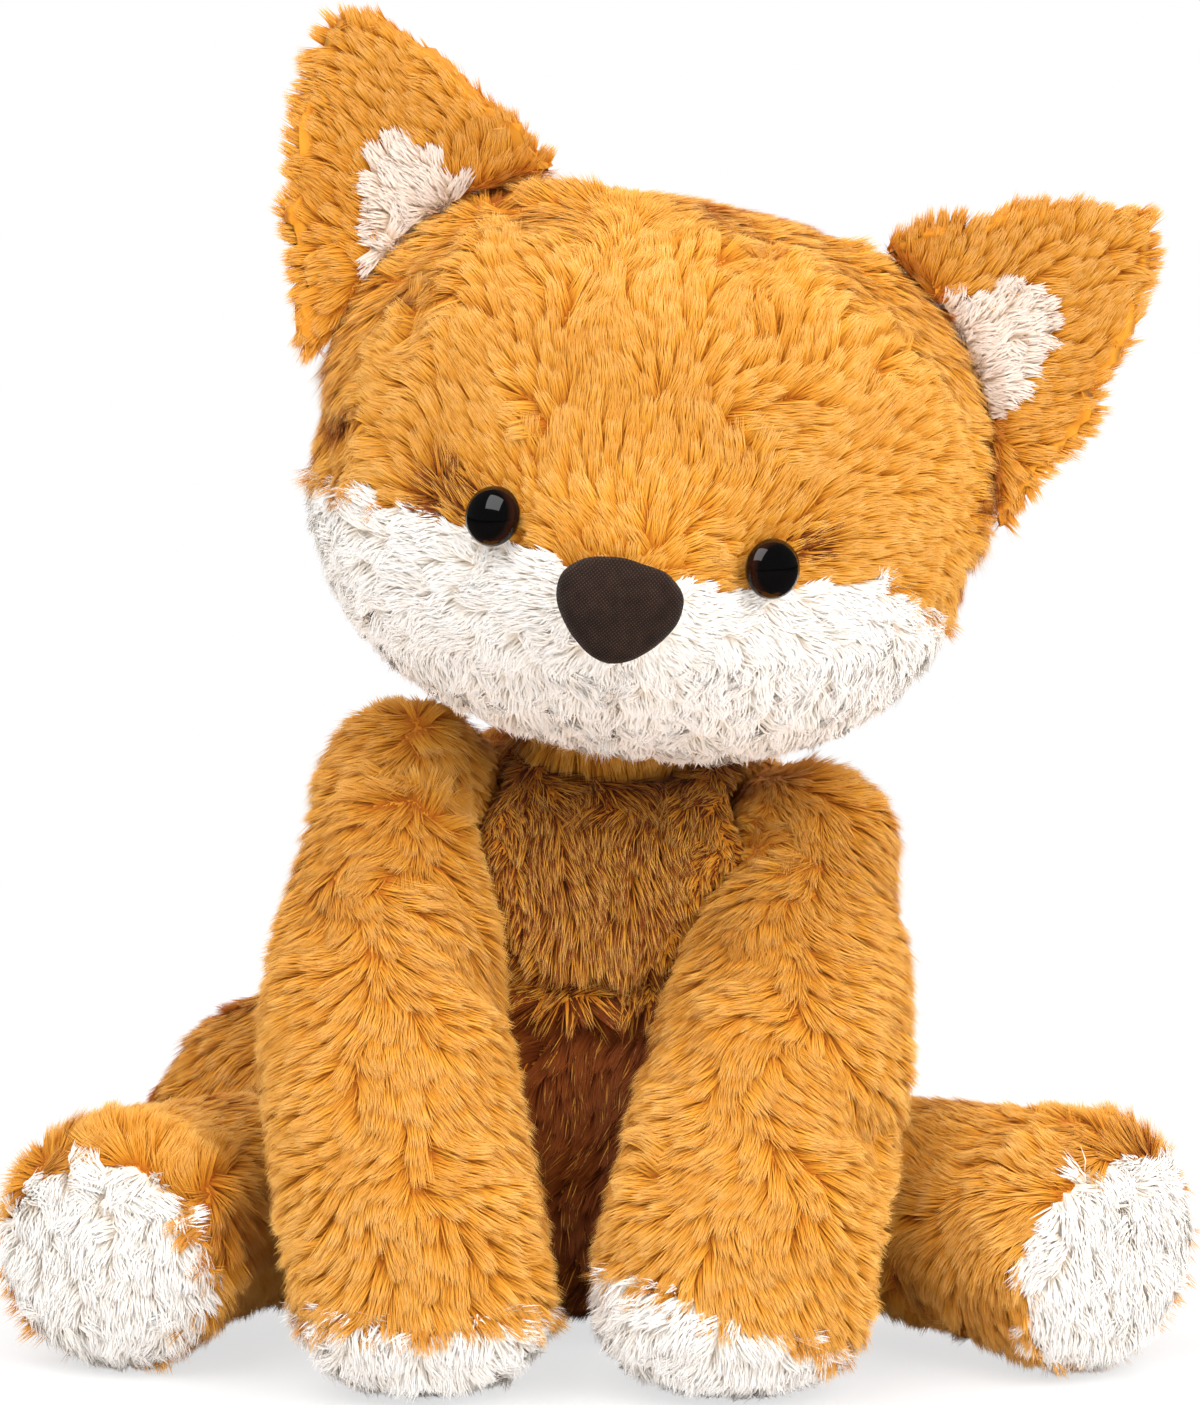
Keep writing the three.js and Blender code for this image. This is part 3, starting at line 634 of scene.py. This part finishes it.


# The belly folds where the fox sits: the chest hangs over it, and below it sinks in between the arms. Under
# the crease, down the middle of the chest and close below the chin, brown strands are painted shade. In
# millimetres, and brown and chest are shares of brown strands.
belly = {
    "crease": 66,
    "slope": -0.03,
    "fold": 5,
    "foldHeight": 3,
    "sink": 7,
    "sinkOver": 8,
    "seat": 25,
    "halfWidth": 30,
    "brown": 0.94,
    "brownOver": 5,
    "brownHalfWidth": 34,
    "chest": 0.52,
    "underChin": 90,
    "chinOver": 20,
    "chin": 0.4,
}


def creaseHeight(point):
    return belly["crease"] + belly["slope"] * point.x / mm


def sinkBelly(bm):
    for vert in bm.verts:
        if vert.co.y < 0:
            below = creaseHeight(vert.co) - vert.co.z / mm
            fold = belly["fold"] * math.exp(-((below / belly["foldHeight"]) ** 2))
            middle = max(0, 1 - (vert.co.x / (belly["halfWidth"] * mm)) ** 2)
            depth = max(0, min(1, below / belly["sinkOver"], vert.co.z / (belly["seat"] * mm)))
            sunk = belly["sink"] * middle * depth
            vert.co.y += max(fold * middle, sunk) * mm
    bm.normal_update()


# The share of brown strands that paints the shade on the belly, the chest and under the chin
def bellyShade(point):
    low = (creaseHeight(point) - point.z / mm) / belly["brownOver"]
    high = (point.z / mm - belly["underChin"]) / belly["chinOver"]
    middle = max(0, 1 - abs(point.x / mm) / belly["brownHalfWidth"])
    chest = belly["chest"] * min(1, 2 * middle)
    return max(min(belly["brown"], low, 2 * middle), min(belly["chin"], high), chest)


# The brown pile beside the outer upper edge of each eye: how far aside and how wide, right and left
eyeStain = {"spots": ((-7, 5.5), (6, 4)), "above": 2.4, "flat": 1.2, "core": 1.2, "most": 0.62}


def stainAt(point):
    most = 0
    if point.y > 0:
        return most
    for at, (aside, wide) in zip(eyesAt, eyeStain["spots"]):
        offset = (point - at) / mm
        away = Vector((offset.x - aside, 0, (offset.z - eyeStain["above"]) * eyeStain["flat"])).length
        most = max(most, eyeStain["core"] - away / wide)
    return min(eyeStain["most"], max(0, most))


# How the skins are made, in millimetres, and how the pile shortens where something is near
skinSettings = {"voxel": 2.6, "softening": 6, "thickness": 1.2, "reach": 7, "drawnFrom": 1, "drawnOver": 6}
room = {
    "look": 12,
    "bare": 0.7,
    "from": 0.5,
    "least": 0.4,
    "crease": 0.45,
    "creaseOver": 6,
    "faceFrom": 1,
    "faceOver": 9,
    "faceLeast": 0.18,
    "faceBare": 0.8,
    "earReach": 7,
    "earMore": 0.5,
}


def treeOf(names):
    bm = bmesh.new()
    for name in names:
        bm.from_mesh(nodes[name].data)
    tree = BVHTree.FromBMesh(bm)
    bm.free()
    return tree


# The closed outer skin of a form, drawn in under the pile where nothing hard is near
def outerSkin(names, inset, hard):
    bm = roundedSkin(names, skinSettings["voxel"], skinSettings["softening"])
    for vert in bm.verts:
        gap = hard.find_nearest(vert.co)[3] / mm
        free = share((gap - skinSettings["drawnFrom"]) / skinSettings["drawnOver"])
        vert.co -= vert.normal * inset * free * mm
    bm.normal_update()
    return bm


# The share of its full length that the pile has at a point, whether it grows there, and the share of brown
# strands: a stain beside the eyes, painted shade on the belly and chest
def pileAt(form, point, normal, around):
    gap = around["apart"].find_nearest(point)[3] / mm
    hit = around["apart"].ray_cast(point, normal, room["look"] * mm)[3]
    if hit is not None:
        gap = min(gap, hit / mm)
    grows = 1 if gap > room["bare"] else 0
    high = forms[form]["size"] * min(1, max(room["least"], (gap - room["from"]) / skinSettings["reach"]))
    stain = 0
    # On the front of the body the brown strands are painted shade
    if form == "body" and point.y < 0:
        high *= min(1, room["crease"] + abs(point.z / mm - creaseHeight(point)) / room["creaseOver"])
        stain = bellyShade(point)
    if form == "head":
        gap = around["face"].find_nearest(point)[3] / mm
        high *= min(1, max(room["faceLeast"], (gap + room["faceFrom"]) / room["faceOver"]))
        if gap < room["faceBare"]:
            grows = 0
        stain = stainAt(point)
        ear = around["ears"].find_nearest(point)[3]
        high *= 1 + room["earMore"] * max(0, 1 - ear / (room["earReach"] * mm))
    return high, grows, stain


# One node's part of a skin with its pile: the skin gets a back, and the strands grow on its outside
def makePiece(name, form, whole, wanted, around):
    colour = "white" if name in forms[form]["white"] else "orange"
    bm = whole.copy()
    bm.faces.ensure_lookup_table()
    unwanted = [face for face in bm.faces if face.index not in wanted]
    bmesh.ops.delete(bm, geom=unwanted, context="FACES")
    layers = {key: bm.verts.layers.float.new(key) for key in ("room", "open", "stain", "outside")}
    napLayer = bm.verts.layers.float_vector.new("nap")
    for vert in bm.verts:
        high, grows, stain = pileAt(form, vert.co, vert.normal, around)
        vert[layers["room"]] = high
        vert[layers["open"]] = grows
        vert[layers["stain"]] = stain
        vert[layers["outside"]] = forms[form].get("share", 1)
        vert[napLayer] = napAt(form, vert.co, vert.normal)
    backed = bmesh.ops.extrude_face_region(bm, geom=bm.faces[:], use_keep_orig=True)["geom"]
    for vert in backed:
        if isinstance(vert, bmesh.types.BMVert):
            vert.co -= vert.normal * skinSettings["thickness"] * mm
            vert[layers["outside"]] = 0
    bmesh.ops.recalc_face_normals(bm, faces=bm.faces)
    settleFaces(bm)
    mesh = bpy.data.meshes.new(name + "_skin")
    bm.to_mesh(mesh)
    bm.free()
    made = modified(mesh, "NODES", node_group=trees[colour])
    for key in ("room", "open", "stain", "outside", "nap", "tone", "spot", "out"):
        if key in made.attributes:
            made.attributes.remove(made.attributes[key])
    material = liningPile if name.startswith("ear_lining") else pileMaterials[colour]
    hidden = [name]
    if name == forms[form]["orange"][0]:
        hidden += forms[form]["inside"]
    result = addPiece(name + "_pile", made, material, bodyOf[name], slotNames[colour], *hidden)
    print(name, len(made.polygons), "faces", round(time.perf_counter() - began), "s")


def makePile(form):
    outer = forms[form]["orange"] + forms[form]["white"]
    own = bodyOf[outer[0]]
    others = [name for name in nodes if bodyOf[name] != own and not name.startswith("eye_washer")]
    joined = tuple(forms[form].get("joins", ["-"]))
    around = {"apart": treeOf([name for name in others if not name.startswith(joined)])}
    if form == "head":
        around["face"] = treeOf(["eye_r", "eye_l", "nose"])
        around["ears"] = treeOf(["ear_outer_r", "ear_outer_l"])
    byNode = {name: treeOf([name]) for name in outer}
    inset = pile["orange"]["inset"] * forms[form]["size"]
    bm = outerSkin(outer + forms[form]["inside"], inset, treeOf(others))
    if form == "body":
        sinkBelly(bm)
    facesOf = {name: set() for name in outer}
    for face in bm.faces:
        at = face.calc_center_median() + face.normal * inset * mm
        closest = min(outer, key=lambda name: byNode[name].find_nearest(at)[3])
        facesOf[closest].add(face.index)
    for name in outer:
        makePiece(name, form, bm, facesOf[name], around)
    bm.free()


strands = {"orange": makeStrand(1), "white": makeStrand(2)}
pileMaterials = {"orange": orangePile, "white": whitePile}
trees = {}
for number, (colour, look) in enumerate(pile.items()):
    trees[colour] = pileTree(colour + " pile", look, strands[colour], 11 + 40 * number)
for form in forms:
    makePile(form)
print("pile made")

# Safety eyes: black moulded acrylic under a clear polish, mirror smooth, with a dark brown rim
eyes = {"radius": 5.3, "rim": 0.9, "dome": 4.7, "bevel": 0.35, "steps": 20, "turns": 48, "smear": 2}


def eyeMaterial():
    material, tree, surface = newMaterial("polished black acrylic")
    rim = add(tree, "ShaderNodeAttribute", attribute_name="edge").outputs["Fac"]
    colour = ramp(tree, rim, [(0, "#020202"), (0.8, "#030202"), (0.93, "#2a1208"), (1, "#0a0503")])
    tree.links.new(colour, surface.inputs["Base Color"])
    at = add(tree, "ShaderNodeTexCoord").outputs["Object"]
    smears = add(tree, "ShaderNodeTexNoise", {"Vector": at, "Scale": 1 / (eyes["smear"] * mm)}).outputs[0]
    rough = add(tree, "ShaderNodeMapRange", {0: smears, 3: 0.03, 4: 0.09}).outputs[0]
    tree.links.new(rough, surface.inputs["Roughness"])
    surface.inputs["IOR"].default_value = 1.49
    surface.inputs["Specular IOR Level"].default_value = 0.4
    return material


polishedEye = eyeMaterial()


def vertexMiddle(name):
    points = [vert.co for vert in nodes[name].data.vertices]
    return sum(points, Vector()) / len(points)


def makeEye(side):
    inner = vertexMiddle("eye_washer_" + side)
    ahead = (vertexMiddle("eye_" + side) - inner).normalized()
    front = max((vert.co - inner).dot(ahead) for vert in nodes["eye_" + side].data.vertices)
    seat = inner + ahead * (front - eyes["dome"] * mm)
    bm = bmesh.new()
    edge = bm.verts.layers.float.new("edge")
    profile = [bm.verts.new((0, 0, 0)), bm.verts.new(((eyes["radius"] - eyes["bevel"]) * mm, 0, 0))]
    for i in range(eyes["steps"] + 1):
        turn = math.pi / 2 * i / eyes["steps"]
        height = eyes["rim"] + (eyes["dome"] - eyes["rim"]) * math.sin(turn)
        profile.append(bm.verts.new((eyes["radius"] * math.cos(turn) * mm, 0, height * mm)))
    for vert in profile:
        vert[edge] = vert.co.x / (eyes["radius"] * mm)
    line = [bm.edges.new(pair) for pair in zip(profile, profile[1:])]
    bmesh.ops.spin(
        bm, geom=profile + line, axis=(0, 0, 1), angle=math.tau, steps=eyes["turns"], use_merge=True
    )
    bmesh.ops.remove_doubles(bm, verts=bm.verts, dist=0.01 * mm)
    bmesh.ops.recalc_face_normals(bm, faces=bm.faces)
    settleFaces(bm)
    turned = ahead.to_track_quat("Z", "Y").to_matrix().to_4x4()
    bmesh.ops.transform(bm, matrix=Matrix.Translation(seat) @ turned, verts=bm.verts)
    mesh = bpy.data.meshes.new("eye_dome_" + side)
    bm.to_mesh(mesh)
    bm.free()
    addPiece("eye_dome_" + side, mesh, polishedEye, "head", "eye_plastic", "eye_" + side)


for side in ("r", "l"):
    makeEye(side)
print("eyes made")

# Nose: a stuffed patch of fine dark brown knit. Sizes in millimetres, slants of the threads in degrees.
nosePad = {"voxel": 0.7, "softening": 30, "plump": 0.5, "thread": 0.45, "slants": (38, -52), "fuzz": 3}
oneBand = 0.314  # the scale at which a wave texture has one band in each unit


# Brushed knit: matt, with two sets of slanting threads, painted shade between them, and the brushed fuzz that
# lightens them
def knitMaterial():
    material, tree, surface = newMaterial("dark brown brushed knit")
    at = add(tree, "ShaderNodeTexCoord").outputs["Object"]
    sets = []
    for slant in nosePad["slants"]:
        slanted = add(tree, "ShaderNodeMapping", {0: at, 2: (0, math.radians(slant), 0)}).outputs[0]
        sets.append(
            add(
                tree,
                "ShaderNodeTexWave",
                {0: slanted, 1: oneBand / (nosePad["thread"] * mm), 2: 1.2, 3: 2, 4: 3},
                bands_direction="X",
            ).outputs[1]
        )
    threads = add(tree, "ShaderNodeMath", {0: sets[0], 1: sets[1]}, operation="MULTIPLY").outputs[0]
    fuzz = add(tree, "ShaderNodeTexNoise", {0: at, 2: 1 / (nosePad["fuzz"] * mm), 3: 3}).outputs[0]
    both = add(tree, "ShaderNodeMath", {0: threads, 1: fuzz}, operation="ADD").outputs[0]
    shade = add(tree, "ShaderNodeMath", {0: both, 1: 0.6}, operation="MULTIPLY").outputs[0]
    # Darker between the threads: painted shade
    colour = ramp(tree, shade, [(0.1, "#170e0a"), (0.5, "#2a1c16"), (0.9, "#46342b")])
    tree.links.new(colour, surface.inputs["Base Color"])
    rough = add(tree, "ShaderNodeMapRange", {0: threads, 3: 0.95, 4: 0.75}).outputs[0]
    tree.links.new(rough, surface.inputs["Roughness"])
    bump = add(tree, "ShaderNodeBump", {"Strength": 0.5, "Distance": 0.15 * mm, "Height": threads}).outputs[0]
    tree.links.new(bump, surface.inputs["Normal"])
    surface.inputs["Specular IOR Level"].default_value = 0.2
    surface.inputs["Sheen Weight"].default_value = 0.06
    surface.inputs["Sheen Roughness"].default_value = 0.4
    return material


def makeNose():
    bm = roundedSkin(["nose"], nosePad["voxel"], nosePad["softening"])
    for vert in bm.verts:
        vert.co += vert.normal * nosePad["plump"] * mm
    mesh = bpy.data.meshes.new("nose_pad")
    bm.to_mesh(mesh)
    bm.free()
    pad = addPiece("nose_pad", mesh, knitMaterial(), "head", "nose_knit", "nose")


makeNose()
print("nose made")

neckThread = {"ply": 0.6, "slant": 35, "turn": 20}  # the width of a ply in mm, and its slant in degrees


# Waxed polyester thread: two plies twisted together, with a dull gleam on each turn, partly painted: its
# colour is painted shade in the grooves and a painted gleam on the crests
def threadMaterial():
    material, tree, surface = newMaterial("waxed polyester thread")
    at = add(tree, "ShaderNodeTexCoord").outputs["Object"]
    slant = (0, math.radians(neckThread["slant"]), math.radians(neckThread["turn"]))
    slanted = add(tree, "ShaderNodeMapping", {0: at, 2: slant}).outputs[0]
    plies = add(
        tree,
        "ShaderNodeTexWave",
        {0: slanted, 1: oneBand / (neckThread["ply"] * mm), 2: 0.8, 3: 2},
        bands_direction="X",
    ).outputs[1]
    # Painted shade in the grooves between the plies, a painted gleam on their crests
    colour = ramp(tree, plies, [(0.1, "#6e3e14"), (0.6, "#9a5a1e"), (1, "#b9762e")])
    tree.links.new(colour, surface.inputs["Base Color"])
    rough = add(tree, "ShaderNodeMapRange", {0: plies, 3: 0.85, 4: 0.6}).outputs[0]
    tree.links.new(rough, surface.inputs["Roughness"])
    bump = add(tree, "ShaderNodeBump", {"Strength": 0.5, "Distance": 0.1 * mm, "Height": plies}).outputs[0]
    tree.links.new(bump, surface.inputs["Normal"])
    return material


flowMark = 1.5  # mm


# Moulded polypropylene washer: milky and dull, with the faint flow marks of the mould
def washerMaterial():
    material, tree, surface = newMaterial("moulded natural polypropylene")
    at = add(tree, "ShaderNodeTexCoord").outputs["Object"]
    flow = add(tree, "ShaderNodeTexNoise", {0: at, 2: 1 / (flowMark * mm), 3: 3}).outputs[0]
    colour = ramp(tree, flow, [(0.25, "#cfcabe"), (0.75, "#e0dcd2")])
    tree.links.new(colour, surface.inputs["Base Color"])
    rough = add(tree, "ShaderNodeMapRange", {0: flow, 3: 0.42, 4: 0.6}).outputs[0]
    tree.links.new(rough, surface.inputs["Roughness"])
    surface.inputs["IOR"].default_value = 1.49
    return material


thread, washer = threadMaterial(), washerMaterial()
for name, material in (("neck_seam", thread), ("eye_washer_r", washer), ("eye_washer_l", washer)):
    for slot in nodes[name].material_slots:
        slot.material = material
print("thread and washers finished")

# Floor and light. The floor shows white to the camera, less so close to the fox, where its shadow falls.
stage = {
    "size": 12,
    "paper": "#faf8f7",
    "mirroredPaper": "#4a4644",
    "shadowRadius": 0.1,
    "clearRadius": 0.5,
    "shadowGlow": 0.7,
    "sky": 0.42,
    "mirroredSky": 0.12,
    "aim": (0, 0, 0.12),
}
lamps = {
    "key": {"at": (-0.6, -0.85, 1.5), "size": 1.4, "power": 23},
    "fill": {"at": (0.9, -1, 1.1), "size": 1.4, "power": 24.5},
    "back": {"at": (0.2, 1.4, 0.75), "size": 1, "power": 14},
}


def makeFloor():
    bm = bmesh.new()
    bmesh.ops.create_grid(bm, x_segments=1, y_segments=1, size=stage["size"])
    mesh = bpy.data.meshes.new("floor")
    bm.to_mesh(mesh)
    bm.free()
    floor = bpy.data.objects.new("floor", mesh)
    scene.collection.objects.link(floor)
    material, tree, surface = newMaterial("white paper sweep")
    path = add(tree, "ShaderNodeLightPath").outputs
    colours = {6: linear(stage["paper"]), 7: linear(stage["mirroredPaper"])}
    paper = add(tree, "ShaderNodeMix", {0: path["Is Glossy Ray"], **colours}, data_type="RGBA").outputs[2]
    tree.links.new(paper, surface.inputs["Base Color"])
    surface.inputs["Roughness"].default_value = 0.9
    place = add(tree, "ShaderNodeTexCoord").outputs["Object"]
    away = add(tree, "ShaderNodeVectorMath", {0: place}, operation="LENGTH").outputs[1]
    near, far = stage["shadowRadius"], stage["clearRadius"]
    plain = add(
        tree, "ShaderNodeMapRange", {0: away, 1: near, 2: far, 3: stage["shadowGlow"], 4: 1}
    ).outputs[0]
    shown = add(tree, "ShaderNodeMath", {0: path["Is Camera Ray"], 1: plain}, operation="MULTIPLY").outputs[0]
    glow = add(tree, "ShaderNodeEmission", {0: linear("#ffffff"), 1: 1}).outputs[0]
    mixed = add(tree, "ShaderNodeMixShader", {0: shown, 1: surface.outputs[0], 2: glow}).outputs[0]
    tree.links.new(mixed, tree.nodes["Material Output"].inputs[0])
    mesh.materials.append(material)


def makeLight():
    world = bpy.data.worlds.new("studio")
    scene.world = world
    world.use_nodes = True
    tree = world.node_tree
    background = tree.nodes["Background"]
    background.inputs["Color"].default_value = linear("#ffffff")
    path = add(tree, "ShaderNodeLightPath").outputs
    dim = add(
        tree, "ShaderNodeMix", {0: path["Is Glossy Ray"], 2: stage["sky"], 3: stage["mirroredSky"]}
    ).outputs[0]
    strength = add(tree, "ShaderNodeMix", {0: path["Is Camera Ray"], 2: dim, 3: 1}).outputs[0]
    tree.links.new(strength, background.inputs["Strength"])
    for name, lamp in lamps.items():
        data = bpy.data.lights.new(name, "AREA")
        data.size = lamp["size"]
        data.energy = lamp["power"]
        made = bpy.data.objects.new(name, data)
        made.visible_glossy = name == "key"  # the eyes show one window
        made.location = lamp["at"]
        made.rotation_euler = (Vector(stage["aim"]) - made.location).to_track_quat("-Z", "Y").to_euler()
        scene.collection.objects.link(made)
    scene.view_settings.view_transform = "Standard"


makeFloor()
makeLight()
print("floor and light set")
